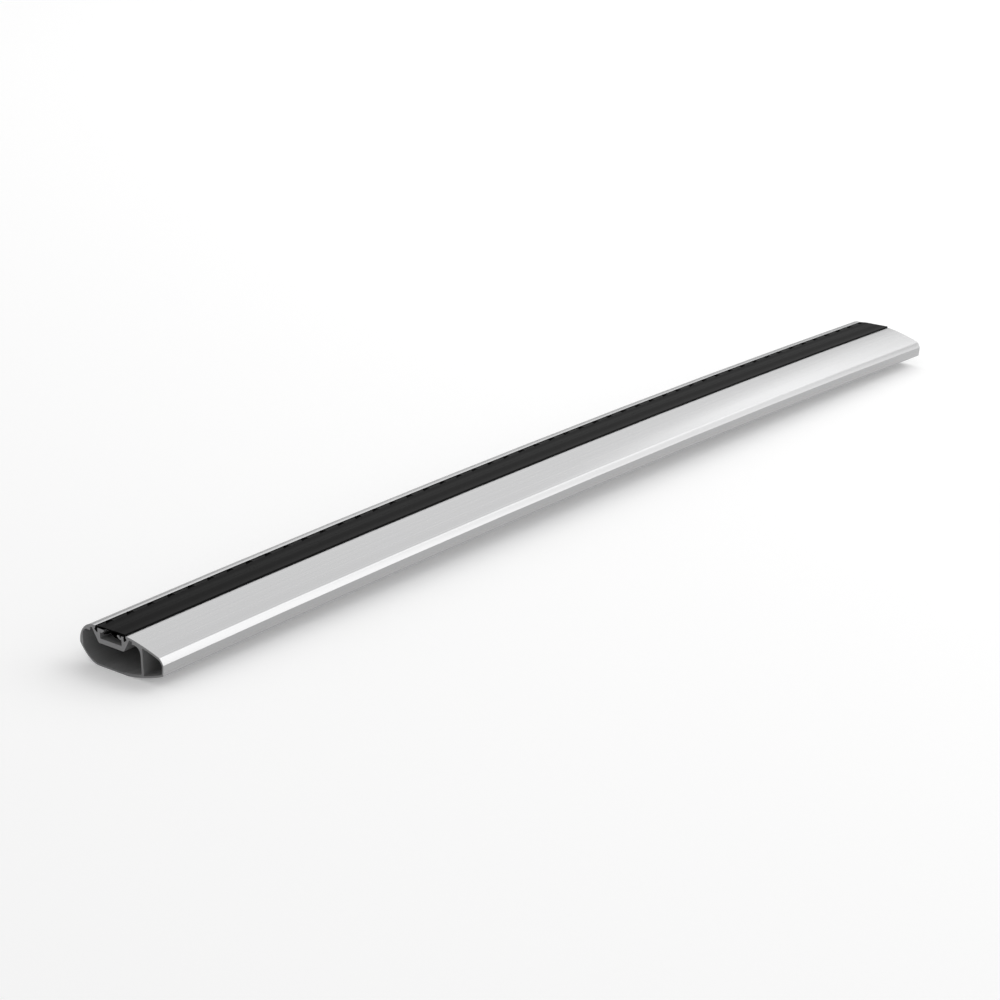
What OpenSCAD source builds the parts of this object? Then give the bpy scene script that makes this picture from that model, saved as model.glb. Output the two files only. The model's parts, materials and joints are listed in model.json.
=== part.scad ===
// Aerodynamic roof rack crossbar: one bowed aluminium extrusion with a T-track along its top,
// and the rubber infill strip of the track, in two halves that meet along its middle.
// The bar lies along X. Its blunt leading edge faces +Y, its thin trailing edge faces -Y, and Z is up.
// The origin is the middle of the bar's box, at its lowest point. Sections are drawn as [y, z], with
// y = 0 at the middle of the track and z = 0 at the underside.

/* [Bar] */
// Length of the bar along its underside, from cut end to cut end
bar_length = 950; // [700:5:1300]
// Radius of the long upward bow, measured to the underside
bow_radius = 19200; // [12000:100:60000]
// Height of the metal section at the edges of the strip
bar_h = 29.2; // [28:0.1:33]
// From the middle of the track to the blunt leading edge
nose_reach = 31; // [30:0.1:36]
// Height of the middle of the leading edge
nose_z = 13.4; // [11:0.1:16]
// From the middle of the track to the thin trailing edge
tail_reach = 50; // [46:0.1:60]
// Height of the foot of the trailing face
tail_foot_z = 9.2; // [7:0.1:11]
// Height at which the trailing face turns into the top
tail_top_z = 17.3; // [13:0.1:19]
// From the middle of the track to the rear end of the flat underside
flat_rear_y = 13; // [8:0.1:16]
// From the middle of the track to the front end of the flat underside
flat_front_y = 13; // [8:0.1:18]

/* [Walls] */
// Thickness of the outer skin
skin_t = 1.3; // [0.9:0.1:2]
// Thickness of the skin over the tail chamber
top_skin_t = 1.8; // [0.9:0.1:2.5]
// Thickness of the wall behind the leading edge
nose_wall_t = 2.9; // [2:0.1:4]
// Drop from the top of the bar to the main chamber's ceiling
ceiling_drop = 4.8; // [4.2:0.1:6.2]
// Radius between that ceiling and the walls
ceiling_r = 5; // [2:0.1:6]
// Thickness of the upright web between the two chambers
web_t = 1.9; // [1:0.1:3]
// From the middle of the track to the main chamber's side of the web
web_y = 28.5; // [25:0.1:32]
// Thickness of the floor pad beside the web
pad_t = 2.2; // [1.5:0.1:3]
// From the middle of the track to the inner edge of the floor pad
pad_y = 13; // [8:0.1:20]
// Fillet at the feet of the web and the nose wall
foot_r = 2; // [0.5:0.1:3]
// Fillet in the other inner corners
inner_r = 0.6; // [0.2:0.1:1]

/* [Track] */
// Clear width inside the track
track_w = 21; // [18:0.1:22]
// Depth of the track's floor below the top of the bar
track_depth = 8.5; // [7.2:0.1:9.2]
// Thickness of the track's floor
track_floor_t = 3.5; // [2:0.1:4.5]
// Thickness of the track's side walls
track_wall_t = 2.15; // [1.6:0.05:2.6]
// Width of the mouth between the two lips
mouth_w = 12.6; // [11:0.1:13.4]
// Thickness of the lips
lip_t = 1.5; // [1:0.1:2]
// Depth of the lips' lower step below the seat of the strip
lip_drop = 1.3; // [0.8:0.1:1.6]
// Depth of the seat that the strip lies in, below the top of the bar
seat_depth = 1.2; // [0.8:0.1:1.8]
// Slant of the outer walls of the track, from upright
flank_deg = 31; // [24:0.5:34]

/* [Groove] */
// Width of each groove at its mouth
groove_w = 2.2; // [1.6:0.1:2.8]
// Depth of each groove, below the seat
groove_depth = 3.3; // [2.6:0.1:3.6]
// How far the groove widens below its mouth, which holds the strip in
barb = 0.95; // [0.4:0.05:1]

/* [Strip] */
// Thickness of the flaps
flap_t = 0.85; // [0.6:0.05:1.2]
// Height of the slit's lips above the metal on both sides
mid_rise = 0.85; // [0.5:0.05:1.5]
// Height of the rear flap's outer edge above the metal beside it, negative when it lies below
rear_rise = -0.2; // [-0.4:0.05:0.5]
// Height of the front flap's outer edge above the metal beside it
front_rise = 1.15; // [0.5:0.05:1.5]
// Gap of the slit between the two halves
slit = 0.1; // [0.05:0.05:0.6]
// Clearance between the rubber and the metal
fit = 0.12; // [0.05:0.01:0.2]
// Thickness of the return lips below the slit
return_t = 0.8; // [0.5:0.05:1]

/* [Fins] */
// Spacing of the fin pairs along the strip
fin_pitch = 19.1; // [14:0.1:30]
// From the cut end to the tip of the first pair
fin_start = 8.7; // [4:0.1:14]
// Width of a pair of fins
fin_pair_w = 7.2; // [5:0.1:9]
// Reach of the fins across the strip
fin_reach = 4.4; // [3:0.1:5]
// From the outer edge of the strip to the tips of the fins
fin_inset = 1.2; // [0.4:0.1:2]
// Height of the taller fin at its tip
fin_h = 0.8; // [0.4:0.05:1.2]
// Height of the lower fin at its tip
low_fin_h = 0.4; // [0.2:0.05:0.8]

/* [Hidden] */
curve_steps = 18;
arc_step = 10;
corner_fn = 48;
sweep_fn = 1024;
eps = 0.01;
big = 200;

// Bow, and the shift that brings the origin to the middle of the bar's box
half_deg = bar_length / bow_radius * 90 / PI;
bow_base = -bow_radius * cos(half_deg);
box_shift = (tail_reach - nose_reach) / 2;

// Outline: lands, and the pulls that set how far each curve runs on from its ends
nose_land = 0.9;
crown_pull = [8.5, 1];
nose_pull = 9.1;
belly_pull = [4, 6.9];
keel_rear_pull = 7.5;
keel_front_pull = 5.3;
tail_inset = 0.7;
tail_pull = [14.2, -5.9];
tail_edge_r = 1.2;
shoulder_share = 0.906;
shoulder_drop = 7.4;
shoulder_rise = bar_h - shoulder_drop - tail_top_z;
bevel_low_share = 0.4;
bevel_high_share = 0.27;
bevel_low_pull = [0.8, bevel_low_share * shoulder_rise];
bevel_high_pull = [-1.45, -bevel_high_share * shoulder_rise];
roof_pull = [6.5, 2.5];
front_edge_pull = [-10.5, -0.75];

// Track and its lips
wall_out = track_w / 2 + track_wall_t;
seat_z = bar_h - seat_depth;
track_floor_z = bar_h - track_depth;
block_z = track_floor_z - track_floor_t;
block_taper = 0.45;
block_r = 0.8;
lip_under_z = seat_z - lip_drop - lip_t;
lip_taper = 2.6;
lip_taper_r = 1;
tip_drop = 1;
tip_lean = 0.6;
tip_r = 0.5;
track_r = 0.5;
lip_r = 0.3;
seat_r = 0.2;

// Channel in the front lip, for the middle leg of the front half
channel_w = 1.8;
channel_out = track_w / 2;
channel_y = channel_out - channel_w;
channel_z = seat_z - lip_drop;
channel_r = 0.8;
channel_out_r = 0.5;
leg_w = 1.2;

// Grooves beside the track, for the outer legs
groove_out = wall_out + groove_w;
groove_z = seat_z - groove_depth;
groove_floor_w = 1.2;
barb_rise = 1.9;
barb_z = groove_z + barb_rise;
barb_fit_share = 1.6;
barb_r = 0.5;
neck_drop = 0.2;
groove_r = 0.3;

// Chambers
nose_in = nose_reach - nose_wall_t;
ceiling_z = bar_h - ceiling_drop;
pocket_rear_w = 5.2;
pocket_front_w = 5.9;
pocket_rear = groove_out + pocket_rear_w;
pocket_front = groove_out + pocket_front_w;
pocket_roof = 2.3;
pocket_z = bar_h - pocket_roof;
pocket_r = 0.7;
pocket_edge_r = 0.3;
front_ceiling_lift = 0.4;
front_ceiling_z = ceiling_z + front_ceiling_lift;
front_ceiling_r_more = 0.8;
front_ceiling_r = ceiling_r + front_ceiling_r_more;
foot_zone_drop = 3;
foot_zone_z = block_z - foot_zone_drop;

// Strip
flap_edge = groove_out - fit;
flap_edge_r = 0.5;
flap_foot_z = seat_z + fit;
rear_pad_w = 1.6;
rear_pad_y = wall_out - rear_pad_w;
rib_w = 0.8;
rib_inset = 3.4;
rib_y = wall_out - rib_inset;
return_turn = [2.6, 0.9];
return_fall = 1.7;
return_gap = 0.25;

// Fins
fin_gap = 0.6;
fin_back = 1.4;
low_fin_foot = [1.2, 1];
fin_sink = 0.6;

function unit(v) = v / norm(v);

// Points of the arc that rounds the corner b = [y, z, radius] between its neighbours a and c
function fillet(a, b, c) =
    let (p = [b.x, b.y],
         u = unit([a.x, a.y] - p),
         v = unit([c.x, c.y] - p),
         half = acos(u * v) / 2,
         centre = p + unit(u + v) * b.z / sin(half),
         first = p + u * b.z / tan(half) - centre,
         sweep = sign(cross(u, v)) * (2 * half - 180),
         steps = ceil(abs(sweep) / arc_step),
         from = atan2(first.y, first.x))
    [for (i = [0:steps]) centre + b.z * [cos(from + sweep * i / steps), sin(from + sweep * i / steps)]];

// Outline of a list of corners, each [y, z, radius], a radius of 0 leaving the corner sharp
function rounded(corners) =
    let (n = len(corners))
    [for (i = [0:n - 1]) each corners[i].z <= 0
        ? [[corners[i].x, corners[i].y]]
        : fillet(corners[(i + n - 1) % n], corners[i], corners[(i + 1) % n])];

// Points along a cubic curve from p0 to p3, drawn towards p1 and p2, without its first point
function curve(p0, p1, p2, p3) =
    [for (i = [1:curve_steps]) let (t = i / curve_steps, s = 1 - t)
        p0 * s * s * s + p1 * 3 * s * s * t + p2 * 3 * s * t * t + p3 * t * t * t];

// Outer outline of the extrusion, from the rear edge of the strip round the nose and the tail
function wing_points() =
    let (rear_edge = [groove_out, bar_h],
         nose_top = [nose_reach, nose_z + nose_land / 2],
         nose_foot = [nose_reach, nose_z - nose_land / 2],
         keel_rear = [flat_rear_y, 0],
         keel_front = [-flat_front_y, 0],
         tail_foot = [tail_inset - tail_reach, tail_foot_z],
         tail_turn = tail_foot.x + 2 * tail_edge_r,
         tail_top = [-tail_reach, tail_top_z],
         shoulder = [-groove_out - shoulder_share * (tail_reach - groove_out), bar_h - shoulder_drop],
         front_edge = [-groove_out, bar_h],
         keel = curve(keel_front, keel_front - [keel_front_pull, 0], tail_foot + tail_pull, tail_foot))
    concat([rear_edge],
        curve(rear_edge, rear_edge + crown_pull, nose_top + [0, nose_pull], nose_top),
        [nose_foot],
        curve(nose_foot, nose_foot - belly_pull, keel_rear + [keel_rear_pull, 0], keel_rear),
        [keel_front],
        [for (p = keel) if (p.x > tail_turn) p],
        fillet(tail_foot + tail_pull, [tail_foot.x, tail_foot.y, tail_edge_r], tail_top),
        [tail_top],
        curve(tail_top, tail_top + bevel_low_pull, shoulder + bevel_high_pull, shoulder),
        curve(shoulder, shoulder + roof_pull, front_edge + front_edge_pull, front_edge));

module wing() {
    polygon(wing_points());
}

// Rounds the outward corners of its child
module eased(r) {
    offset(r = r, $fn = corner_fn) offset(delta = -r) children();
}

// Flanks, floor and walls of the track before its slot is cut
module track_block() {
    foot = wall_out - block_taper;
    head = foot + tan(flank_deg) * (bar_h - block_z);
    polygon(rounded([
        [-foot, block_z, block_r],
        [foot, block_z, block_r],
        [head, bar_h, 0],
        [-head, bar_h, 0]
    ]));
}

// Thicker floor from the web to the middle of the bar
module floor_pad() {
    intersection() {
        translate([-big - pad_y, -big]) square([big, big + block_z]);
        difference() {
            wing();
            offset(delta = -pad_t) wing();
        }
    }
}

// Space of the main chamber, with the stepped pockets of its ceiling, before its corners are eased
module main_space() {
    difference() {
        intersection() {
            offset(delta = -skin_t) wing();
            polygon(rounded([
                [nose_in, -big, 0],
                [nose_in, ceiling_z, ceiling_r],
                [pocket_rear, ceiling_z, pocket_edge_r],
                [pocket_rear, pocket_z, pocket_r],
                [-pocket_front, pocket_z, pocket_r],
                [-pocket_front, front_ceiling_z, pocket_edge_r],
                [-web_y, front_ceiling_z, front_ceiling_r],
                [-web_y, -big, 0]
            ]));
        }
        track_block();
        floor_pad();
    }
}

// Main chamber: small fillets in its ceiling, larger ones along its floor
module main_chamber() {
    intersection() {
        eased(inner_r) main_space();
        translate([-big, foot_zone_z]) square([2 * big, big]);
    }
    intersection() {
        eased(foot_r) main_space();
        translate([-big, foot_zone_z - big]) square([2 * big, big + eps]);
    }
}

module tail_chamber() {
    eased(inner_r) intersection() {
        offset(delta = -skin_t) wing();
        translate([0, skin_t - top_skin_t]) offset(delta = -skin_t) wing();
        translate([-web_y - web_t - big, 0]) square([big, big]);
    }
}

// Slot of the track, its mouth, the seat of the strip and the channel in the front lip
module track_slot() {
    half = track_w / 2;
    tip = mouth_w / 2;
    polygon(rounded([
        [-half, track_floor_z, track_r],
        [half, track_floor_z, track_r],
        [half, lip_under_z, lip_r],
        [tip + lip_taper, lip_under_z, lip_taper_r],
        [tip, seat_z - tip_drop, tip_r],
        [tip + tip_lean, seat_z, seat_r],
        [tip + tip_lean, bar_h + big, 0],
        [-tip - tip_lean, bar_h + big, 0],
        [-tip - tip_lean, seat_z, seat_r],
        [-tip, seat_z - tip_drop, tip_r],
        [-tip - lip_taper, lip_under_z, lip_taper_r],
        [-half, lip_under_z, lip_r]
    ]));
    translate([-groove_out, seat_z]) square([2 * groove_out, big]);
    polygon(rounded([
        [-channel_y, channel_z, channel_r],
        [-channel_y, bar_h, 0],
        [-channel_out, bar_h, 0],
        [-channel_out, channel_z, channel_out_r]
    ]));
}

// One groove beside the track, or the leg that fills it when gap is the clearance
module groove(gap = 0) {
    polygon(rounded([
        [wall_out + gap, bar_h, 0],
        [wall_out + gap, groove_z + gap, groove_r],
        [wall_out + groove_floor_w - gap, groove_z + gap, groove_r],
        [groove_out + barb - barb_fit_share * gap, barb_z, barb_r],
        [groove_out - gap, seat_z - neck_drop, neck_drop],
        [groove_out - gap, bar_h, 0]
    ]));
}

module bar_section() {
    difference() {
        wing();
        main_chamber();
        tail_chamber();
        track_slot();
        for (side = [0, 1]) mirror([side, 0]) groove();
    }
}

// Sweeps a section along the bow, as two halves that meet at the middle of the bar
module bowed() {
    translate([0, box_shift, bow_base])
        for (side = [0, 1]) mirror([side, 0, 0])
            rotate([90, 0, 0]) rotate([0, 0, 90])
                rotate_extrude(start = 0, angle = half_deg, $fn = sweep_fn)
                    translate([bow_radius, 0]) rotate(-90) children();
}

// Height of the rear flap's top, which falls away to its outer edge
function rear_top(y) = bar_h + mid_rise - (mid_rise - rear_rise) * pow(y / flap_edge, 3);

// Height of the front flap's top, which climbs to its outer edge
function front_top(y) = bar_h + mid_rise + (front_rise - mid_rise) * y / flap_edge;

// Distances across a flap, from the slit to the line out
function across(out) = [for (i = [0:curve_steps]) slit / 2 + (out - slit / 2) * i / curve_steps];

// A band of thickness t along a line of points
module band(line, t) {
    n = len(line);
    along = [for (i = [0:n - 1]) unit(line[min(i + 1, n - 1)] - line[max(i - 1, 0)])];
    side = [for (v = along) [-v.y, v.x] * t / 2];
    polygon(concat(line + side, [for (i = [n - 1:-1:0]) line[i] - side[i]]));
}

// Lip that hangs from the slit and turns back under the lip of the track
module return_lip() {
    start = [(slit + return_t) / 2, bar_h + mid_rise - flap_t / 2];
    finish = [mouth_w / 2, lip_under_z + return_gap];
    turn = [return_turn.x, finish.y + return_turn.y];
    band(concat([start], curve(start, [start.x, finish.y + return_fall], turn, finish)), return_t);
}

// Flap under the points of its top, thick down to the seat outside the line pad
module flap(top, pad) {
    inner = [for (p = top) if (p.x < pad) p];
    n = len(inner);
    polygon(concat(top,
        [[flap_edge, flap_foot_z], [pad, flap_foot_z], [pad, lookup(pad, top) - flap_t]],
        [for (i = [n - 1:-1:0]) inner[i] - [0, flap_t]]));
}

// Rear half, seen with +Y to the right
module rear_strip_section() {
    flap([for (y = across(flap_edge)) [y, rear_top(y)]], rear_pad_y);
    translate([rib_y - rib_w / 2, flap_foot_z]) square([rib_w, rear_top(rib_y) - flap_foot_z - flap_t / 2]);
    groove(fit);
    return_lip();
}

// Front half, mirrored to the same side, with the leg that stands in the channel
module front_strip_section() {
    leg_y = channel_out - fit - leg_w;
    leg_z = channel_z + channel_out_r + fit;
    top = [for (y = across(flap_edge - 2 * flap_edge_r)) [y, front_top(y)]];
    corner = [flap_edge, front_top(flap_edge), flap_edge_r];
    flap(concat(top, fillet(top[curve_steps], corner, [flap_edge, seat_z])), leg_y);
    translate([leg_y, leg_z]) square([leg_w, bar_h - leg_z]);
    groove(fit);
    return_lip();
}

// A fin that stands on the rear flap: its foot is a, b, c, each [x, y], and its tip is rise above a
module fin(a, b, c, rise) {
    foot = [for (p = [a, b, c]) [p.x, p.y, rear_top(p.y) - fin_sink]];
    lift = [fin_sink + rise, fin_sink - eps, fin_sink - eps];
    head = [for (i = [0:2]) foot[i] + [0, 0, lift[i]]];
    polyhedron(concat(foot, head), [[0, 1, 2], [3, 5, 4], [0, 3, 4, 1], [1, 4, 5, 2], [2, 5, 3, 0]]);
}

// Two fins that spread from their tips towards the slit, the lower one towards -X
module fin_pair() {
    half = fin_pair_w / 2;
    out = flap_edge - fin_inset;
    foot = out - fin_reach;
    fin([-fin_gap / 2, out], [-half, foot], [low_fin_foot.x, foot + low_fin_foot.y], low_fin_h);
    fin([fin_gap / 2, out], [half, foot], [half + fin_back, out], fin_h);
}

// Sets its child upright on the bow, at the distance s from the cut end at -X
module on_bow(s) {
    turn = (s - bar_length / 2) / bow_radius * 180 / PI;
    translate([0, box_shift, bow_base]) rotate([0, turn, 0]) translate([0, 0, bow_radius]) children();
}

module fin_row() {
    room = bar_length - fin_start - fin_pair_w / 2 - fin_back;
    for (i = [0:floor(room / fin_pitch)]) on_bow(fin_start + i * fin_pitch) fin_pair();
}

module bar_extrusion() {
    color("silver") bowed() bar_section();
}

module rear_strip_half() {
    color("dimgray") {
        bowed() rear_strip_section();
        fin_row();
    }
}

module front_strip_half() {
    color("dimgray") bowed() mirror([1, 0]) front_strip_section();
}

bar_extrusion();
rear_strip_half();
front_strip_half();
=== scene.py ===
"""Studio scene of a roof rack crossbar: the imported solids, dressed in satin aluminium and black rubber.

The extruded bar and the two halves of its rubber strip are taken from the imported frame, merged,
smoothed and given their finishes. Every length is in metres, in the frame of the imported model.
"""

from __future__ import annotations

import json
import logging
import math
from collections.abc import Callable
from dataclasses import dataclass, field
from enum import Enum, IntEnum

import bmesh
import bpy
from mathutils import Matrix, Vector

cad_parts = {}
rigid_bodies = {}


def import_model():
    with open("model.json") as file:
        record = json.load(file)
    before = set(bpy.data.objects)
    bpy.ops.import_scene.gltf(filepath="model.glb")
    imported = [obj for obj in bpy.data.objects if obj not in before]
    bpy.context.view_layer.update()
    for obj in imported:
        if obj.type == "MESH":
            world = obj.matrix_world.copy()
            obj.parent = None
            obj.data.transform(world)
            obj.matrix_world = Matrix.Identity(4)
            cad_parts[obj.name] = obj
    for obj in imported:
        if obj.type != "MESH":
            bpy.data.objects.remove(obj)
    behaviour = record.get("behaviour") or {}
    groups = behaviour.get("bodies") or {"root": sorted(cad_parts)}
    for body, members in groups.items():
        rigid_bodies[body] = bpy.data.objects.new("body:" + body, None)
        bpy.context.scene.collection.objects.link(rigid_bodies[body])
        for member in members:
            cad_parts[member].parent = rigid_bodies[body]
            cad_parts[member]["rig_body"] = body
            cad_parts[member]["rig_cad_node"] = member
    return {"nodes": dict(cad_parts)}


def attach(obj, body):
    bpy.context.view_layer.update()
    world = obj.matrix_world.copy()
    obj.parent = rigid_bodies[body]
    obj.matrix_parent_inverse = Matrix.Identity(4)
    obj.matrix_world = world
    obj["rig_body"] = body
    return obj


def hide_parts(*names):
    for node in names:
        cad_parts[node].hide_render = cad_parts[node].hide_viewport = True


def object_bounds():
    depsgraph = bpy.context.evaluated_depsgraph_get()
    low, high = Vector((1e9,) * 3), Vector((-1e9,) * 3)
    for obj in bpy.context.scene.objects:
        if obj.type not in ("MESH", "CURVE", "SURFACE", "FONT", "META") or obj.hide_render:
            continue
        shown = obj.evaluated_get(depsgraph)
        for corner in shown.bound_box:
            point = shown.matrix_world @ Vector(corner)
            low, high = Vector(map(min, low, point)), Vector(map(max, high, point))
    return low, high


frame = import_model()
CAD_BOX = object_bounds()

log = logging.getLogger("crossbar")


class PieceName(Enum):
    """The CAD nodes that the scene dresses."""

    BAR = "bar_extrusion"
    REAR_HALF = "rear_strip_half"
    FRONT_HALF = "front_strip_half"


class RecordSlot(Enum):
    """Material slots of the record."""

    ALUMINIUM = "anodised_aluminium"
    RUBBER = "black_rubber"


class FaceSlot(IntEnum):
    """Places of the finishes on a dressed piece."""

    OUTSIDE = 0
    CUT = 1
    HOLLOW = 2


class MixInput(IntEnum):
    """Places of the inputs of a Mix node that mixes colours."""

    FACTOR = 0
    FIRST = 6
    SECOND = 7


class MixOutput(IntEnum):
    """Places of the outputs of a Mix node that mixes colours."""

    COLOUR = 2


@dataclass(frozen=True)
class Bow:
    """The long upward arc that the bar follows.

    Attributes:
        radius: Radius of the arc, measured to the underside of the bar.
        half_length: Half of the bar's length along that arc.
    """

    radius: float = 19.2
    half_length: float = 0.475

    @property
    def half_angle(self) -> float:
        """Half of the angle that the bar spans, in radians."""
        return self.half_length / self.radius

    @property
    def end_x(self) -> float:
        """Distance of the cut ends from the middle, at the underside."""
        return self.radius * math.sin(self.half_angle)

    @property
    def crown(self) -> float:
        """Height of the middle of the underside above its ends."""
        return self.radius * (1.0 - math.cos(self.half_angle))

    def section_height(self, point: Vector) -> float:
        """Gives a point's height in the section, measured from the bowed underside."""
        return point.z + point.x * point.x / (2.0 * self.radius) - self.crown

    def along(self, x: float) -> Vector:
        """Gives the direction in which the bar runs at a distance x from its middle."""
        turn = x / self.radius
        return Vector((math.cos(turn), 0.0, -math.sin(turn)))


BOW = Bow()


@dataclass(frozen=True)
class TrackSpace:
    """The room of the T-track in the section, under the strip.

    Attributes:
        middle: Place of the track's middle across the bar.
        half_width: From there to just inside the outer edges of the grooves.
        floor: Height of the track's floor, with a little to spare.
        roof: Height just under the seat of the strip.
    """

    middle: float = 0.0095
    half_width: float = 0.0147
    floor: float = 0.0206
    roof: float = 0.0279

    def holds(self, point: Vector) -> bool:
        """Tells whether a point on the bar lies in the track or its grooves."""
        inside = abs(point.y - self.middle) < self.half_width
        return inside and self.floor < BOW.section_height(point) < self.roof


TRACK = TrackSpace()

# Node helpers

Socket = bpy.types.NodeSocket
GroupInput = tuple[str, str, object]
GroupOutput = tuple[str, str]

# Levels of the fine noise at which a speck starts to show and shows in full
SPECK_START = 0.52
SPECK_FULL = 0.72


@dataclass
class NodeBench:
    """A node tree under construction, with short calls for the nodes that finishes use.

    Attributes:
        tree: The node tree that receives the nodes.
    """

    tree: bpy.types.NodeTree

    def add(self, kind: str, **settings: object) -> bpy.types.Node:
        """Adds a node.

        Args:
            kind: Blender's identifier of the node type.
            **settings: Attributes to set on the new node.

        Returns:
            The new node.
        """
        node = self.tree.nodes.new(kind)
        for name, value in settings.items():
            setattr(node, name, value)
        return node

    def join(self, source: Socket, target: Socket) -> None:
        """Links an output socket to an input socket."""
        self.tree.links.new(source, target)

    def feed(self, node: bpy.types.Node, key: str | int, value: object) -> None:
        """Gives an input socket a constant or a link.

        Args:
            node: The node whose input is set.
            key: Name or place of the input.
            value: A constant, or the output socket to link.
        """
        if isinstance(value, Socket):
            self.join(value, node.inputs[key])
        else:
            node.inputs[key].default_value = value

    def math(self, operation: str, *values: object, clamp: bool = False) -> Socket:
        """Adds a Math node.

        Args:
            operation: The operation's identifier, such as "ADD".
            *values: Constants or output sockets, in the order of the inputs.
            clamp: Whether the result is held between 0 and 1.

        Returns:
            The node's output socket.
        """
        node = self.add("ShaderNodeMath", operation=operation, use_clamp=clamp)
        for place, value in enumerate(values):
            self.feed(node, place, value)
        return node.outputs[0]

    def ramp(self, value: Socket, low: float, high: float, first: float, last: float) -> Socket:
        """Maps a value from one range to another, smoothly and held at its ends.

        Args:
            value: The socket to map.
            low: Where the input range starts.
            high: Where the input range ends.
            first: Result at low.
            last: Result at high.

        Returns:
            The mapped value's socket.
        """
        node = self.add("ShaderNodeMapRange", interpolation_type="SMOOTHSTEP")
        for key, number in (("From Min", low), ("From Max", high), ("To Min", first), ("To Max", last)):
            node.inputs[key].default_value = number
        self.join(value, node.inputs["Value"])
        return node.outputs["Result"]

    def centred(self, noise: Socket, spread: float = 0.2, reach: float = 0.5) -> Socket:
        """Maps a noise within the spread around 0.5 to values within the reach around 0."""
        return self.ramp(noise, 0.5 - spread, 0.5 + spread, -reach, reach)


def new_group(
    name: str, inputs: list[GroupInput], outputs: list[GroupOutput]
) -> tuple[bpy.types.NodeTree, NodeBench]:
    """Starts a shader node group with named sockets.

    Args:
        name: Name of the group.
        inputs: Name, socket type and default of each input.
        outputs: Name and socket type of each output.

    Returns:
        The group and a bench to build it on.
    """
    tree = bpy.data.node_groups.new(name, "ShaderNodeTree")
    for label, kind, default in inputs:
        socket = tree.interface.new_socket(name=label, in_out="INPUT", socket_type=kind)
        if default is not None:
            socket.default_value = default
    for label, kind in outputs:
        tree.interface.new_socket(name=label, in_out="OUTPUT", socket_type=kind)
    return tree, NodeBench(tree)


def drawn_lines_group() -> bpy.types.NodeTree:
    """Builds the group for the fine lines that a die leaves along an extruded piece.

    The lines follow the bow, so the height is first measured from the bowed underside.

    Returns:
        The group, with outputs Lines (fine, around 0.5) and Bands (broad, around 0.5).
    """
    tree, bench = new_group(
        "drawn_lines",
        [
            ("Place", "NodeSocketVector", None),
            ("Bow Radius", "NodeSocketFloat", BOW.radius),
            ("Line Width", "NodeSocketFloat", 0.0008),
            ("Line Length", "NodeSocketFloat", 24.0),
            ("Band Share", "NodeSocketFloat", 9.0),
        ],
        [("Lines", "NodeSocketFloat"), ("Bands", "NodeSocketFloat")],
    )
    given = bench.add("NodeGroupInput")
    result = bench.add("NodeGroupOutput")
    split = bench.add("ShaderNodeSeparateXYZ")
    bench.join(given.outputs["Place"], split.inputs[0])
    squared = bench.math("MULTIPLY", split.outputs["X"], split.outputs["X"])
    double_radius = bench.math("MULTIPLY", given.outputs["Bow Radius"], 2.0)
    fall = bench.math("DIVIDE", squared, double_radius)
    height = bench.math("ADD", split.outputs["Z"], fall)
    along = bench.math("DIVIDE", split.outputs["X"], given.outputs["Line Length"])
    line_width = given.outputs["Line Width"]
    band_width = bench.math("MULTIPLY", line_width, given.outputs["Band Share"])
    for label, width, detail in (("Lines", line_width, 3.0), ("Bands", band_width, 1.0)):
        place = bench.add("ShaderNodeCombineXYZ")
        bench.join(along, place.inputs["X"])
        bench.join(bench.math("DIVIDE", split.outputs["Y"], width), place.inputs["Y"])
        bench.join(bench.math("DIVIDE", height, width), place.inputs["Z"])
        noise = bench.add("ShaderNodeTexNoise", noise_dimensions="3D")
        noise.inputs["Scale"].default_value = 1.0
        noise.inputs["Detail"].default_value = detail
        bench.join(place.outputs[0], noise.inputs["Vector"])
        bench.join(noise.outputs["Fac"], result.inputs[label])
    return tree


def cut_edge_group() -> bpy.types.NodeTree:
    """Builds the group that finds the rim of a piece beside its cut ends.

    Returns:
        The group, with the output Rim: 1 at the cut, fading to 0 at the given reach.
    """
    tree, bench = new_group(
        "cut_edge",
        [("Place", "NodeSocketVector", None), ("Reach", "NodeSocketFloat", 0.0006)],
        [("Rim", "NodeSocketFloat")],
    )
    given = bench.add("NodeGroupInput")
    result = bench.add("NodeGroupOutput")
    split = bench.add("ShaderNodeSeparateXYZ")
    bench.join(given.outputs["Place"], split.inputs[0])
    out = bench.math("ABSOLUTE", split.outputs["X"])
    lean = bench.math("MULTIPLY", split.outputs["Z"], math.tan(BOW.half_angle))
    cut = bench.math("ADD", lean, BOW.end_x)
    distance = bench.math("SUBTRACT", cut, out)
    share = bench.math("DIVIDE", distance, given.outputs["Reach"])
    bench.join(bench.math("SUBTRACT", 1.0, share, clamp=True), result.inputs["Rim"])
    return tree


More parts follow.
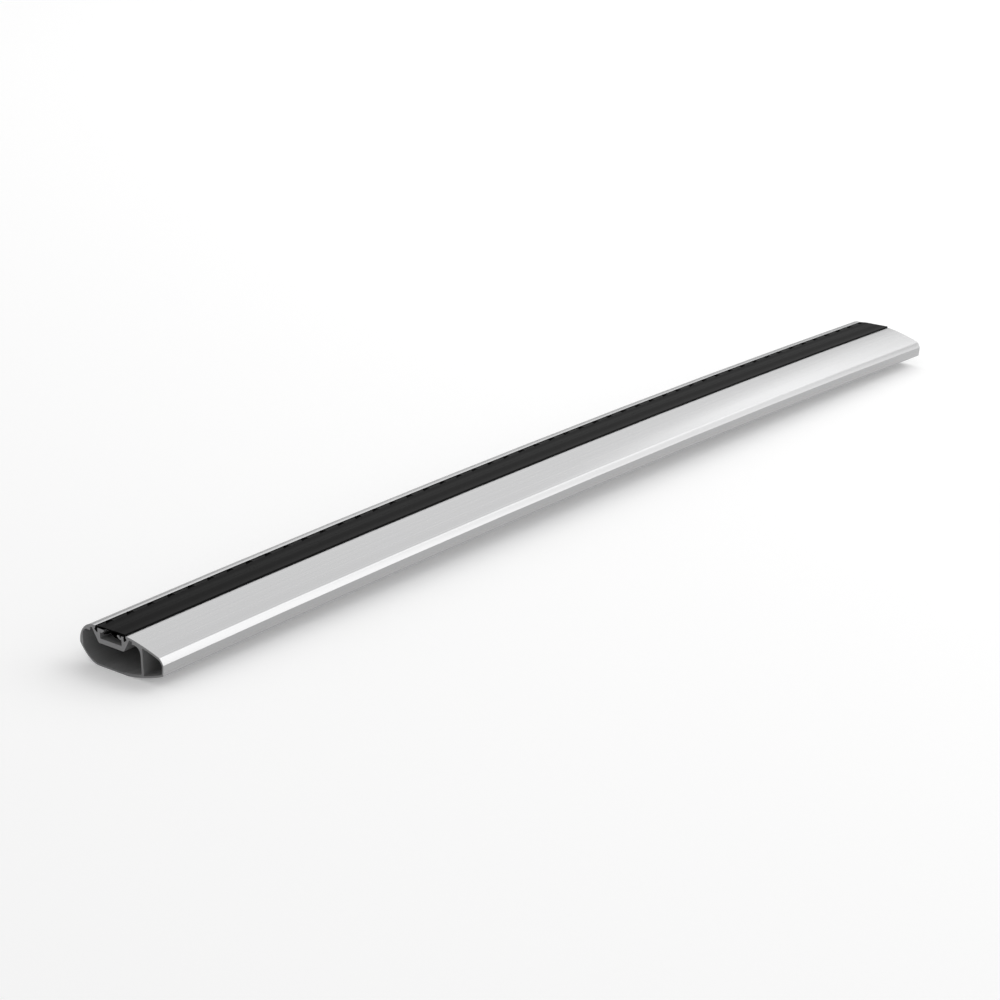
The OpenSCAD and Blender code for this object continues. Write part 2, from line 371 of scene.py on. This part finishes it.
def lengthwise_band_group() -> bpy.types.NodeTree:
    """Builds the group for narrow bands along the bar, on both sides of the track's middle.

    Returns:
        The group, with the output Band: 1 at the given distance, fading to 0 at the given reach from it.
    """
    tree, bench = new_group(
        "lengthwise_band",
        [
            ("Place", "NodeSocketVector", None),
            ("Middle", "NodeSocketFloat", TRACK.middle),
            ("Lowest", "NodeSocketFloat", TRACK.floor),
            ("Distance", "NodeSocketFloat", 0.0),
            ("Reach", "NodeSocketFloat", 0.0006),
        ],
        [("Band", "NodeSocketFloat")],
    )
    given = bench.add("NodeGroupInput")
    result = bench.add("NodeGroupOutput")
    split = bench.add("ShaderNodeSeparateXYZ")
    bench.join(given.outputs["Place"], split.inputs[0])
    across = bench.math("ABSOLUTE", bench.math("SUBTRACT", split.outputs["Y"], given.outputs["Middle"]))
    off = bench.math("ABSOLUTE", bench.math("SUBTRACT", across, given.outputs["Distance"]))
    share = bench.math("DIVIDE", off, given.outputs["Reach"])
    near = bench.math("SUBTRACT", 1.0, share, clamp=True)
    above = bench.math("GREATER_THAN", split.outputs["Z"], given.outputs["Lowest"])
    bench.join(bench.math("MULTIPLY", near, above), result.inputs["Band"])
    return tree


def speckle_group() -> bpy.types.NodeTree:
    """Builds the group for small soft specks, such as grain, bloom and handling marks.

    Returns:
        The group, with outputs Specks (0 to the given amount) and Clouds (around 0.5).
    """
    tree, bench = new_group(
        "speckle",
        [
            ("Place", "NodeSocketVector", None),
            ("Speck Size", "NodeSocketFloat", 0.0005),
            ("Amount", "NodeSocketFloat", 0.3),
            ("Clouds Per Metre", "NodeSocketFloat", 14.0),
        ],
        [("Specks", "NodeSocketFloat"), ("Clouds", "NodeSocketFloat")],
    )
    given = bench.add("NodeGroupInput")
    result = bench.add("NodeGroupOutput")
    scale = bench.math("DIVIDE", 1.0, given.outputs["Speck Size"])
    fine = bench.add("ShaderNodeTexNoise")
    fine.inputs["Detail"].default_value = 2.0
    bench.join(given.outputs["Place"], fine.inputs["Vector"])
    bench.join(scale, fine.inputs["Scale"])
    shown = bench.ramp(fine.outputs["Fac"], SPECK_START, SPECK_FULL, 0.0, 1.0)
    bench.join(bench.math("MULTIPLY", shown, given.outputs["Amount"]), result.inputs["Specks"])
    clouds = bench.add("ShaderNodeTexNoise")
    clouds.inputs["Detail"].default_value = 3.0
    bench.join(given.outputs["Place"], clouds.inputs["Vector"])
    bench.join(given.outputs["Clouds Per Metre"], clouds.inputs["Scale"])
    bench.join(clouds.outputs["Fac"], result.inputs["Clouds"])
    return tree


@dataclass
class SurfaceEffects:
    """The node groups that several finishes share.

    Attributes:
        lines: Fine lines along an extruded piece.
        rim: The rim beside the cut ends.
        band: Narrow bands along the bar.
        specks: Small soft specks and broad clouds.
    """

    lines: bpy.types.NodeTree = field(default_factory=drawn_lines_group)
    rim: bpy.types.NodeTree = field(default_factory=cut_edge_group)
    band: bpy.types.NodeTree = field(default_factory=lengthwise_band_group)
    specks: bpy.types.NodeTree = field(default_factory=speckle_group)


# Finishes


@dataclass(frozen=True)
class Finish:
    """What every finish has.

    Attributes:
        name: Name of the material.
        colour: Base colour, linear.
        roughness: Mean roughness.
        middle_tone: Where the plain surface stands between darkest and lightest.
        darkest: Factor on the base colour at tone 0.
        lightest: Factor on the base colour at tone 1.
        relief: Height of the surface's fine relief.
        relief_strength: How strongly that relief shades.
    """

    name: str
    colour: tuple[float, float, float]
    roughness: float
    middle_tone: float = 0.5
    darkest: float = 0.94
    lightest: float = 1.06
    relief: float = 0.00002
    relief_strength: float = 0.3

    def start(self) -> tuple[bpy.types.Material, NodeBench, bpy.types.Node, Socket]:
        """Creates the material.

        Returns:
            The material, its bench, its Principled shader and the socket with object coordinates.
        """
        material = bpy.data.materials.new(self.name)
        material.use_nodes = True
        material.diffuse_color = (*self.colour, 1.0)
        bench = NodeBench(material.node_tree)
        shader = material.node_tree.nodes["Principled BSDF"]
        shader.inputs["Base Color"].default_value = (*self.colour, 1.0)
        shader.inputs["Roughness"].default_value = self.roughness
        place = bench.add("ShaderNodeTexCoord").outputs["Object"]
        return material, bench, shader, place

    def put(
        self, bench: NodeBench, group: bpy.types.NodeTree, place: Socket, **values: float
    ) -> bpy.types.Node:
        """Puts a shared node group into the material.

        Args:
            bench: Bench of the material.
            group: The group to place.
            place: Socket with the point on the surface.
            **values: Inputs to set, with underscores for the spaces in their names.

        Returns:
            The group node.
        """
        node = bench.add("ShaderNodeGroup", node_tree=group)
        bench.join(place, node.inputs["Place"])
        for name, value in values.items():
            node.inputs[name.replace("_", " ")].default_value = value
        return node

    def tint(self, bench: NodeBench, tone: Socket) -> Socket:
        """Makes a colour that moves between the darkest and the lightest base colour.

        Args:
            bench: Bench of the material.
            tone: The mix, 0 for darkest and 1 for lightest.

        Returns:
            The colour's socket.
        """
        mix = bench.add("ShaderNodeMix", data_type="RGBA", clamp_factor=False)
        bench.join(tone, mix.inputs[MixInput.FACTOR])
        dark = [channel * self.darkest for channel in self.colour]
        light = [channel * self.lightest for channel in self.colour]
        mix.inputs[MixInput.FIRST].default_value = (*dark, 1.0)
        mix.inputs[MixInput.SECOND].default_value = (*light, 1.0)
        return mix.outputs[MixOutput.COLOUR]

    def raise_relief(self, bench: NodeBench, shader: bpy.types.Node, height: Socket) -> None:
        """Gives the shader the fine relief of a height pattern.

        Args:
            bench: Bench of the material.
            shader: The material's shader.
            height: The pattern's socket.
        """
        bump = bench.add("ShaderNodeBump")
        bump.inputs["Strength"].default_value = self.relief_strength
        bump.inputs["Distance"].default_value = self.relief
        bench.join(height, bump.inputs["Height"])
        bench.join(bump.outputs[0], shader.inputs["Normal"])


@dataclass(frozen=True)
class SatinAluminium(Finish):
    """Clear anodised extruded aluminium, with the fine lines of the die along its length.

    Attributes:
        line_width: Width of the finest lines.
        line_tone: How much the lines change the tone.
        line_rough: How much the lines change the roughness.
        band_tone: How much the broad bands change the tone.
        band_rough: How much the broad bands change the roughness.
        mark_size: Size of the handling marks.
        mark_amount: Share of the marks that shows.
        mark_rough: How much rougher the marks are.
        rim_reach: How far the painted highlight beside the cut reaches from it.
        rim_highlight_tone: How much lighter that painted highlight is, standing in for the glint of a small
            bevel at the cut.
        edge_distance: From the track's middle to the painted highlights beside the strip.
        edge_reach: Half of the width of those painted highlights.
        edge_highlight_tone: How much lighter those painted highlights are, standing in for the glint of the
            seat's rounded edges.
    """

    lightest: float = 1.05
    relief: float = 0.000006
    relief_strength: float = 0.25
    line_width: float = 0.0006
    line_tone: float = 0.4
    line_rough: float = 0.05
    band_tone: float = 0.35
    band_rough: float = 0.03
    mark_size: float = 0.0009
    mark_amount: float = 0.25
    mark_rough: float = 0.06
    rim_reach: float = 0.0006
    rim_highlight_tone: float = 0.6
    edge_distance: float = 0.01515
    edge_reach: float = 0.0006
    edge_highlight_tone: float = 2.2

    def build(self, effects: SurfaceEffects) -> bpy.types.Material:
        """Builds the material.

        Args:
            effects: The shared node groups.

        Returns:
            The finished material.
        """
        material, bench, shader, place = self.start()
        shader.inputs["Metallic"].default_value = 1.0
        lines = self.put(bench, effects.lines, place, Line_Width=self.line_width)
        marks = self.put(bench, effects.specks, place, Speck_Size=self.mark_size, Amount=self.mark_amount)
        rim = self.put(bench, effects.rim, place, Reach=self.rim_reach)
        edge = self.put(bench, effects.band, place, Distance=self.edge_distance, Reach=self.edge_reach)
        bands = bench.centred(lines.outputs["Bands"])
        fine = bench.centred(lines.outputs["Lines"])
        tone = bench.math("MULTIPLY_ADD", bands, self.band_tone, self.middle_tone)
        tone = bench.math("MULTIPLY_ADD", fine, self.line_tone, tone)
        # Painted highlight: the rim beside the cut ends is lightened, standing in for the glint of a bevel
        # the mesh lacks
        tone = bench.math("MULTIPLY_ADD", rim.outputs["Rim"], self.rim_highlight_tone, tone, clamp=True)
        # Painted highlight: narrow lighter bands on the seat edges beside the strip, standing in for the
        # glint of their rounding
        tone = bench.math("MULTIPLY_ADD", edge.outputs["Band"], self.edge_highlight_tone, tone)
        bench.join(self.tint(bench, tone), shader.inputs["Base Color"])
        rough = bench.math("MULTIPLY_ADD", fine, self.line_rough, self.roughness)
        rough = bench.math("MULTIPLY_ADD", bands, self.band_rough, rough)
        rough = bench.math("MULTIPLY_ADD", marks.outputs["Specks"], self.mark_rough, rough)
        bench.join(rough, shader.inputs["Roughness"])
        self.raise_relief(bench, shader, lines.outputs["Lines"])
        return material


@dataclass(frozen=True)
class DullAluminium(Finish):
    """Dull skin inside the hollows, greyer than the outside, with the lines of the die.

    Attributes:
        metallic: How much of the surface mirrors, the rest being a dull film.
        line_width: Width of the finest lines.
        line_tone: How much the lines change the tone.
        band_tone: How much the broad bands change the tone.
        stain_size: Size of the stains.
        stain_amount: Share of the stains that shows.
        stain_rough: How much rougher the stains are.
    """

    darkest: float = 0.86
    lightest: float = 1.12
    metallic: float = 0.35
    line_width: float = 0.0009
    line_tone: float = 0.4
    band_tone: float = 0.5
    stain_size: float = 0.0012
    stain_amount: float = 0.3
    stain_rough: float = 0.08

    def build(self, effects: SurfaceEffects) -> bpy.types.Material:
        """Builds the material.

        Args:
            effects: The shared node groups.

        Returns:
            The finished material.
        """
        material, bench, shader, place = self.start()
        shader.inputs["Metallic"].default_value = self.metallic
        lines = self.put(bench, effects.lines, place, Line_Width=self.line_width)
        stains = self.put(bench, effects.specks, place, Speck_Size=self.stain_size, Amount=self.stain_amount)
        bands = bench.centred(lines.outputs["Bands"])
        fine = bench.centred(lines.outputs["Lines"])
        tone = bench.math("MULTIPLY_ADD", bands, self.band_tone, self.middle_tone)
        tone = bench.math("MULTIPLY_ADD", fine, self.line_tone, tone, clamp=True)
        bench.join(self.tint(bench, tone), shader.inputs["Base Color"])
        rough = bench.math("MULTIPLY_ADD", stains.outputs["Specks"], self.stain_rough, self.roughness)
        bench.join(rough, shader.inputs["Roughness"])
        self.raise_relief(bench, shader, lines.outputs["Lines"])
        return material


@dataclass(frozen=True)
class SawnAluminium(Finish):
    """Bare aluminium of the cut ends, with the fine arcs of the saw.

    Attributes:
        saw_pitch: Distance between the marks of the saw.
        ring_pitch: Distance between the rings of Blender's wave pattern at scale 1.
        blade_place: Across and up, from the saw's middle to the origin.
        wobble: How far the marks wander from true arcs.
        mark_tone: How much the marks change the tone.
        mark_rough: How much rougher the marks are.
        grain: Size of the metal's grain.
        grain_amount: Share of the grain that shows.
        grain_tone: How much lighter the grain is.
    """

    middle_tone: float = 0.2
    saw_pitch: float = 0.0006
    ring_pitch: float = 0.05
    blade_place: tuple[float, float] = (0.09, -0.12)
    wobble: float = 1.5
    mark_tone: float = 0.5
    mark_rough: float = 0.08
    grain: float = 0.0004
    grain_amount: float = 0.6
    grain_tone: float = 0.4

    def build(self, effects: SurfaceEffects) -> bpy.types.Material:
        """Builds the material.

        Args:
            effects: The shared node groups.

        Returns:
            The finished material.
        """
        material, bench, shader, place = self.start()
        shader.inputs["Metallic"].default_value = 1.0
        mapping = bench.add("ShaderNodeMapping")
        bench.join(place, mapping.inputs["Vector"])
        mapping.inputs["Location"].default_value = (0.0, *self.blade_place)
        mapping.inputs["Scale"].default_value = (0.0, 1.0, 1.0)
        rings = bench.add("ShaderNodeTexWave", wave_type="RINGS", rings_direction="X")
        rings.inputs["Scale"].default_value = self.ring_pitch / self.saw_pitch
        rings.inputs["Distortion"].default_value = self.wobble
        rings.inputs["Detail"].default_value = 2.0
        rings.inputs["Detail Scale"].default_value = 6.0
        bench.join(mapping.outputs[0], rings.inputs["Vector"])
        marks = rings.outputs["Fac"]
        specks = self.put(bench, effects.specks, place, Speck_Size=self.grain, Amount=self.grain_amount)
        tone = bench.math("MULTIPLY_ADD", marks, self.mark_tone, self.middle_tone)
        tone = bench.math("MULTIPLY_ADD", specks.outputs["Specks"], self.grain_tone, tone, clamp=True)
        bench.join(self.tint(bench, tone), shader.inputs["Base Color"])
        rough = bench.math("MULTIPLY_ADD", marks, self.mark_rough, self.roughness)
        bench.join(rough, shader.inputs["Roughness"])
        self.raise_relief(bench, shader, marks)
        return material


@dataclass(frozen=True)
class BlackRubber(Finish):
    """Matte extruded rubber, with faint lines along its length and a little bloom.

    Attributes:
        sheen: Level of the rubber's mirror reflection.
        line_width: Width of the finest lines.
        line_tone: How much the lines change the tone.
        band_spread: How far from their mean the broad bands still change.
        band_tone: How much the broad bands change the tone.
        band_rough: How much smoother the light bands are.
        grain: Size of the rubber's grain.
        bloom: Share of the grain that the bloom covers.
        bloom_tone: How much lighter the bloom is.
        bloom_rough: How much rougher the bloom is.
        bloom_height: Height of the bloomed grain, as a share of the relief.
        cloud_tone: How much the broad clouds change the tone.
        seam_reach: How far the painted shade reaches on both sides of the slit.
        seam_shade_tone: How much darker that painted shade line is.
    """

    darkest: float = 0.55
    lightest: float = 1.45
    relief: float = 0.00004
    relief_strength: float = 0.35
    sheen: float = 0.05
    line_width: float = 0.0008
    line_tone: float = 0.6
    band_spread: float = 0.15
    band_tone: float = 0.5
    band_rough: float = 0.08
    grain: float = 0.0003
    bloom: float = 0.5
    bloom_tone: float = 0.35
    bloom_rough: float = 0.08
    bloom_height: float = 0.5
    cloud_tone: float = 0.15
    seam_reach: float = 0.0007
    seam_shade_tone: float = 0.9

    def build(self, effects: SurfaceEffects) -> bpy.types.Material:
        """Builds the material.

        Args:
            effects: The shared node groups.

        Returns:
            The finished material.
        """
        material, bench, shader, place = self.start()
        shader.inputs["Specular IOR Level"].default_value = self.sheen
        lines = self.put(bench, effects.lines, place, Line_Width=self.line_width)
        specks = self.put(bench, effects.specks, place, Speck_Size=self.grain, Amount=self.bloom)
        seam = self.put(bench, effects.band, place, Reach=self.seam_reach)
        bloomed = specks.outputs["Specks"]
        bands = bench.centred(lines.outputs["Bands"], self.band_spread)
        clouds = bench.centred(specks.outputs["Clouds"], self.band_spread, self.cloud_tone)
        tone = bench.math("MULTIPLY_ADD", bands, self.band_tone, self.middle_tone)
        tone = bench.math("MULTIPLY_ADD", bench.centred(lines.outputs["Lines"]), self.line_tone, tone)
        # Painted shade: a darker line along the slit between the strip's two halves, where shade falls in
        # the gap
        tone = bench.math("MULTIPLY_ADD", seam.outputs["Band"], -self.seam_shade_tone, tone)
        tone = bench.math("MULTIPLY_ADD", bloomed, self.bloom_tone, tone)
        tone = bench.math("ADD", tone, clouds, clamp=True)
        bench.join(self.tint(bench, tone), shader.inputs["Base Color"])
        rough = bench.math("MULTIPLY_ADD", bands, -self.band_rough, self.roughness)
        rough = bench.math("MULTIPLY_ADD", bloomed, self.bloom_rough, rough)
        bench.join(rough, shader.inputs["Roughness"])
        height = bench.math("MULTIPLY_ADD", bloomed, self.bloom_height, lines.outputs["Lines"])
        self.raise_relief(bench, shader, height)
        return material


# Pieces


@dataclass
class ExtrudedPiece:
    """A long piece with the same section all along the bow, taken from its CAD node.

    Attributes:
        source: The CAD node that the piece stands for.
        record_slot: The record's slot for the piece's material; not used.
        smooth_deg: Edges flatter than this are shaded smooth.
        merge_gap: Vertices closer than this become one.
        cut_depth: How far in from the ends a face of the cut may lie.
        cut_facing: Faces that look along the bow at least this squarely belong to the cut.
    """

    source: PieceName
    record_slot: RecordSlot
    smooth_deg: float = 24.0
    merge_gap: float = 0.000004
    cut_depth: float = 0.002
    cut_facing: float = 0.999

    def build(self, *finishes: bpy.types.Material) -> bpy.types.Object:
        """Makes the dressed piece and puts it in the place of its CAD node.

        Args:
            *finishes: Finish of the drawn surfaces, of the two cut ends, and any further one.

        Returns:
            The finished piece.
        """
        piece = self.copy_of_node()
        self.merge(piece)
        piece.data.materials.clear()
        for finish in finishes:
            piece.data.materials.append(finish)
        self.give_finish(piece, FaceSlot.CUT, self.is_cut)
        self.finish_other_faces(piece)
        self.smooth(piece)
        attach(piece, "root")
        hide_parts(self.source.value)
        return piece

    def copy_of_node(self) -> bpy.types.Object:
        """Duplicates the CAD node, free of its parent and at the origin.

        Returns:
            The duplicate, selected and active.
        """
        bpy.ops.object.select_all(action="DESELECT")
        node = frame["nodes"][self.source.value]
        node.select_set(True)
        bpy.context.view_layer.objects.active = node
        bpy.ops.object.duplicate()
        piece = bpy.context.view_layer.objects.active
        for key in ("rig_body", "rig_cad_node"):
            if key in piece:
                del piece[key]
        piece.parent = None
        piece.matrix_world = Matrix.Identity(4)
        piece.name = f"dressed_{self.source.value}"
        piece.data.name = piece.name
        return piece

    def merge(self, piece: bpy.types.Object) -> None:
        """Joins the loose triangles of a copied node into one skin.

        Args:
            piece: The copied node, selected and active.
        """
        bpy.ops.object.mode_set(mode="EDIT")
        bpy.ops.mesh.select_all(action="SELECT")
        bpy.ops.mesh.remove_doubles(threshold=self.merge_gap)
        bpy.ops.mesh.select_all(action="DESELECT")
        bpy.ops.object.mode_set(mode="OBJECT")

    def give_finish(
        self, piece: bpy.types.Object, slot: FaceSlot, belongs: Callable[[bmesh.types.BMFace], bool]
    ) -> None:
        """Gives the faces that pass a test the finish in one slot.

        Args:
            piece: The copied and merged piece.
            slot: Place of the finish on the piece.
            belongs: The test of a face.
        """
        bpy.ops.object.mode_set(mode="EDIT")
        bpy.ops.mesh.select_mode(type="FACE")
        mesh = bmesh.from_edit_mesh(piece.data)
        for face in mesh.faces:
            face.select_set(belongs(face))
        bmesh.update_edit_mesh(piece.data)
        piece.active_material_index = slot
        bpy.ops.object.material_slot_assign()
        bpy.ops.mesh.select_all(action="DESELECT")
        bpy.ops.object.mode_set(mode="OBJECT")

    def is_cut(self, face: bmesh.types.BMFace) -> bool:
        """Tells whether a face lies in the plane of one of the two cuts.

        Args:
            face: A face of the piece.

        Returns:
            Whether it lies at an end and looks outwards along the bow.
        """
        at_end = abs(face.calc_center_median().x) > BOW.end_x - self.cut_depth
        outwards = Vector((abs(face.normal.x), 0.0, face.normal.z))
        return at_end and outwards.dot(BOW.along(BOW.half_length)) > self.cut_facing

    def finish_other_faces(self, piece: bpy.types.Object) -> None:
        """Gives further faces their finish, for a piece that has such faces."""

    def smooth(self, piece: bpy.types.Object) -> None:
        """Shades the piece smooth across its flatter edges.

        The normals that it was packed with are dropped first, because they don't fit the merged skin.

        Args:
            piece: The piece, with its faces dressed.
        """
        bpy.ops.object.select_all(action="DESELECT")
        piece.select_set(True)
        bpy.context.view_layer.objects.active = piece
        bpy.ops.mesh.customdata_custom_splitnormals_clear()
        bpy.ops.object.shade_smooth_by_angle(angle=math.radians(self.smooth_deg))


@dataclass
class BarExtrusion(ExtrudedPiece):
    """The hollow bar, whose chambers and track are duller than its outside."""

    smooth_deg: float = 14.0

    def is_hollow(self, face: bmesh.types.BMFace) -> bool:
        """Tells whether a face is selected already, as a chamber's is, or lies in the track."""
        outside = face.material_index == FaceSlot.OUTSIDE
        return face.select or (outside and TRACK.holds(face.calc_center_median()))

    def finish_other_faces(self, piece: bpy.types.Object) -> None:
        """Gives the dull finish to the faces of the chambers and of the track.

        The chambers' faces are the ones that are neither cut nor joined to the topmost face.

        Args:
            piece: The copied and merged bar.
        """
        bpy.ops.object.mode_set(mode="EDIT")
        mesh = bmesh.from_edit_mesh(piece.data)
        uncut = [face for face in mesh.faces if face.material_index == FaceSlot.OUTSIDE]
        max(uncut, key=lambda face: face.calc_center_median().z).select_set(True)
        bmesh.update_edit_mesh(piece.data)
        bpy.ops.mesh.select_linked(delimit={"MATERIAL"})
        piece.active_material_index = FaceSlot.CUT
        bpy.ops.object.material_slot_select()
        bpy.ops.mesh.select_all(action="INVERT")
        self.give_finish(piece, FaceSlot.HOLLOW, self.is_hollow)


@dataclass
class StripHalf(ExtrudedPiece):
    """Half of the rubber strip, whose fins and underside are darker than its worn top.

    Attributes:
        down_below: Faces whose normals rise less than this look downwards.
        fin_lean: Faces whose normals lean further than this along the bow belong to a fin.
        slope_from: Distance behind the strip's middle from which the whole flap slopes.
        level_lean: Faces on that slope whose normals lean less than this are tops of fins.
    """

    down_below: float = -0.05
    fin_lean: float = 0.01
    slope_from: float = 0.0089
    level_lean: float = 0.05

    def is_dark(self, face: bmesh.types.BMFace) -> bool:
        """Tells whether a face belongs to the underside or to a fin.

        Args:
            face: A face of the half.

        Returns:
            Whether it looks down, leans along the bow, or is level where the flap slopes.
        """
        point = face.calc_center_median()
        down = face.normal.z < self.down_below
        leans = abs(face.normal.dot(BOW.along(point.x))) > self.fin_lean
        on_slope = point.y - TRACK.middle > self.slope_from
        return down or leans or (on_slope and abs(face.normal.y) < self.level_lean)

    def finish_other_faces(self, piece: bpy.types.Object) -> None:
        """Gives the finish of the cut ends to the underside and the fins."""
        self.give_finish(piece, FaceSlot.CUT, self.is_dark)


@dataclass
class Crossbar:
    """The whole crossbar: the extruded bar and the two halves of its strip.

    Attributes:
        aluminium: Finish of the bar.
        sawn: Finish of the bar's cut ends.
        dull: Finish inside the bar's hollows.
        rubber: Finish of the top of the strip.
        rubber_cut: Finish of the strip's cut ends, underside and fins.
    """

    aluminium: SatinAluminium = SatinAluminium("satin_aluminium", (0.44, 0.44, 0.443), 0.25)
    sawn: SawnAluminium = SawnAluminium("sawn_aluminium", (0.25, 0.25, 0.252), 0.5)
    dull: DullAluminium = DullAluminium("dull_aluminium", (0.30, 0.30, 0.302), 0.55)
    rubber: BlackRubber = BlackRubber("worn_rubber", (0.0015, 0.0015, 0.00155), 0.5)
    rubber_cut: BlackRubber = BlackRubber("cut_rubber", (0.0025, 0.0025, 0.0025), 0.9, sheen=0.02)

    def build(self) -> list[bpy.types.Object]:
        """Builds every piece.

        Returns:
            The dressed pieces.
        """
        effects = SurfaceEffects()
        metal = [finish.build(effects) for finish in (self.aluminium, self.sawn, self.dull)]
        rubber = [finish.build(effects) for finish in (self.rubber, self.rubber_cut)]
        bar = BarExtrusion(PieceName.BAR, RecordSlot.ALUMINIUM)
        rear = StripHalf(PieceName.REAR_HALF, RecordSlot.RUBBER)
        front = StripHalf(PieceName.FRONT_HALF, RecordSlot.RUBBER)
        return [bar.build(*metal), rear.build(*rubber), front.build(*rubber)]


# Studio


@dataclass(frozen=True)
class Softbox:
    """A rectangular studio lamp that points at the middle of the floor.

    Attributes:
        name: Name of the lamp.
        place: Where it hangs.
        size: Width and height of its face.
        level: Brightness of its face, where 1 is white.
    """

    name: str
    place: tuple[float, float, float]
    size: tuple[float, float]
    level: float

    def build(self) -> bpy.types.Object:
        """Adds the lamp.

        Returns:
            The lamp's object.
        """
        data = bpy.data.lights.new(self.name, "AREA")
        data.shape = "RECTANGLE"
        data.size, data.size_y = self.size
        data.energy = self.level * math.pi * self.size[0] * self.size[1]
        lamp = bpy.data.objects.new(self.name, data)
        bpy.context.scene.collection.objects.link(lamp)
        lamp.location = self.place
        lamp.rotation_euler = (-Vector(self.place)).to_track_quat("-Z", "Y").to_euler()
        return lamp


@dataclass
class Studio:
    """Pale floor, soft lamps, plain world and the camera.

    Attributes:
        floor_half: Half of the floor's width.
        floor_gap: How far the floor lies under the bar's ends.
        floor_colour: Colour of the floor.
        floor_roughness: Roughness of the floor.
        floor_sheen: Level of the floor's mirror reflection.
        floor_glow: Light that the floor adds where the camera, metal or glass sees it.
        world_strength: Level of the plain world light.
        lamps: The softboxes.
        camera_place: Where the camera stands.
        yaw_deg: Direction of the camera's view, from +X towards +Y.
        pitch_deg: How far the view points down.
        roll_deg: How far the camera is rolled.
        lens: Focal length in millimetres.
        sensor_width: Width of the sensor in millimetres.
        shift: Shift of the picture across and up.
        view_reach: How far the camera sees.
    """

    floor_half: float = 14.0
    floor_gap: float = 0.0001
    floor_colour: float = 0.9
    floor_roughness: float = 0.9
    floor_sheen: float = 0.1
    floor_glow: float = 0.18
    world_strength: float = 0.58
    lamps: tuple[Softbox, ...] = (
        Softbox("top_box", (2.316, 0.811, 2.353), (4.51, 3.4), 0.751),
        Softbox("far_top_box", (2.874, 0.013, 1.817), (2.1, 0.575), 0.942),
        Softbox("bevel_box", (2.132, -2.023, 1.71), (2.555, 3.8), 1.155),
        Softbox("near_bevel_box", (1.533, -1.99, 1.64), (1.19, 2.955), 0.584),
    )
    camera_place: tuple[float, float, float] = (-1.60415, -1.25733, 0.7293)
    yaw_deg: float = 39.4677
    pitch_deg: float = 19.9068
    roll_deg: float = 0.094
    lens: float = 97.79
    sensor_width: float = 36.0
    shift: tuple[float, float] = (-0.0005, 0.0005)
    view_reach: float = 100.0

    def build(self) -> None:
        """Builds the floor, the world, the lamps and the camera."""
        self.build_floor()
        self.build_world()
        for lamp in self.lamps:
            lamp.build()
        self.build_camera()

    def build_floor(self) -> None:
        """Adds the floor just under the bar's ends, as part of the stage."""
        bpy.ops.object.select_all(action="DESELECT")
        height = CAD_BOX[0][2] - self.floor_gap
        bpy.ops.mesh.primitive_plane_add(size=2.0 * self.floor_half, location=(0.0, 0.0, height))
        floor = bpy.context.view_layer.objects.active
        floor.name = "studio_floor"
        material = bpy.data.materials.new("pale_floor")
        material.use_nodes = True
        bench = NodeBench(material.node_tree)
        shader = material.node_tree.nodes["Principled BSDF"]
        shader.inputs["Base Color"].default_value = (self.floor_colour,) * 3 + (1.0,)
        shader.inputs["Roughness"].default_value = self.floor_roughness
        shader.inputs["Specular IOR Level"].default_value = self.floor_sheen
        path = bench.add("ShaderNodeLightPath")
        seen = bench.math("MAXIMUM", path.outputs["Is Camera Ray"], path.outputs["Is Glossy Ray"])
        seen = bench.math("MAXIMUM", seen, path.outputs["Is Transmission Ray"])
        shader.inputs["Emission Color"].default_value = (1.0, 1.0, 1.0, 1.0)
        bench.join(bench.math("MULTIPLY", seen, self.floor_glow), shader.inputs["Emission Strength"])
        floor.data.materials.append(material)

    def build_world(self) -> None:
        """Sets the plain world light."""
        world = bpy.data.worlds.new("studio_world")
        world.use_nodes = True
        bpy.context.scene.world = world
        background = world.node_tree.nodes["Background"]
        background.inputs["Color"].default_value = (1.0, 1.0, 1.0, 1.0)
        background.inputs["Strength"].default_value = self.world_strength
        bpy.context.scene.view_settings.view_transform = "Standard"

    def build_camera(self) -> None:
        """Adds the camera at the photograph's place and angle."""
        yaw, pitch, roll = (math.radians(a) for a in (self.yaw_deg, self.pitch_deg, self.roll_deg))
        level = Vector((math.cos(yaw), math.sin(yaw), 0.0))
        ahead = math.cos(pitch) * level - math.sin(pitch) * Vector((0.0, 0.0, 1.0))
        right = Vector((math.sin(yaw), -math.cos(yaw), 0.0))
        up = right.cross(ahead)
        side = math.cos(roll) * right + math.sin(roll) * up
        top = -math.sin(roll) * right + math.cos(roll) * up
        data = bpy.data.cameras.new("photo_camera")
        data.lens = self.lens
        data.sensor_width = self.sensor_width
        data.shift_x, data.shift_y = self.shift
        data.clip_end = self.view_reach
        camera = bpy.data.objects.new("photo_camera", data)
        bpy.context.scene.collection.objects.link(camera)
        turn = Matrix((side, top, -ahead)).transposed().to_4x4()
        camera.matrix_world = Matrix.Translation(self.camera_place) @ turn
        bpy.context.scene.camera = camera


def main() -> None:
    """Builds the crossbar and its studio, and reports each piece."""
    logging.basicConfig(level=logging.INFO)
    for piece in Crossbar().build():
        log.info("%s: %d faces", piece.name, len(piece.data.polygons))
    Studio().build()


if __name__ == "__main__":
    main()
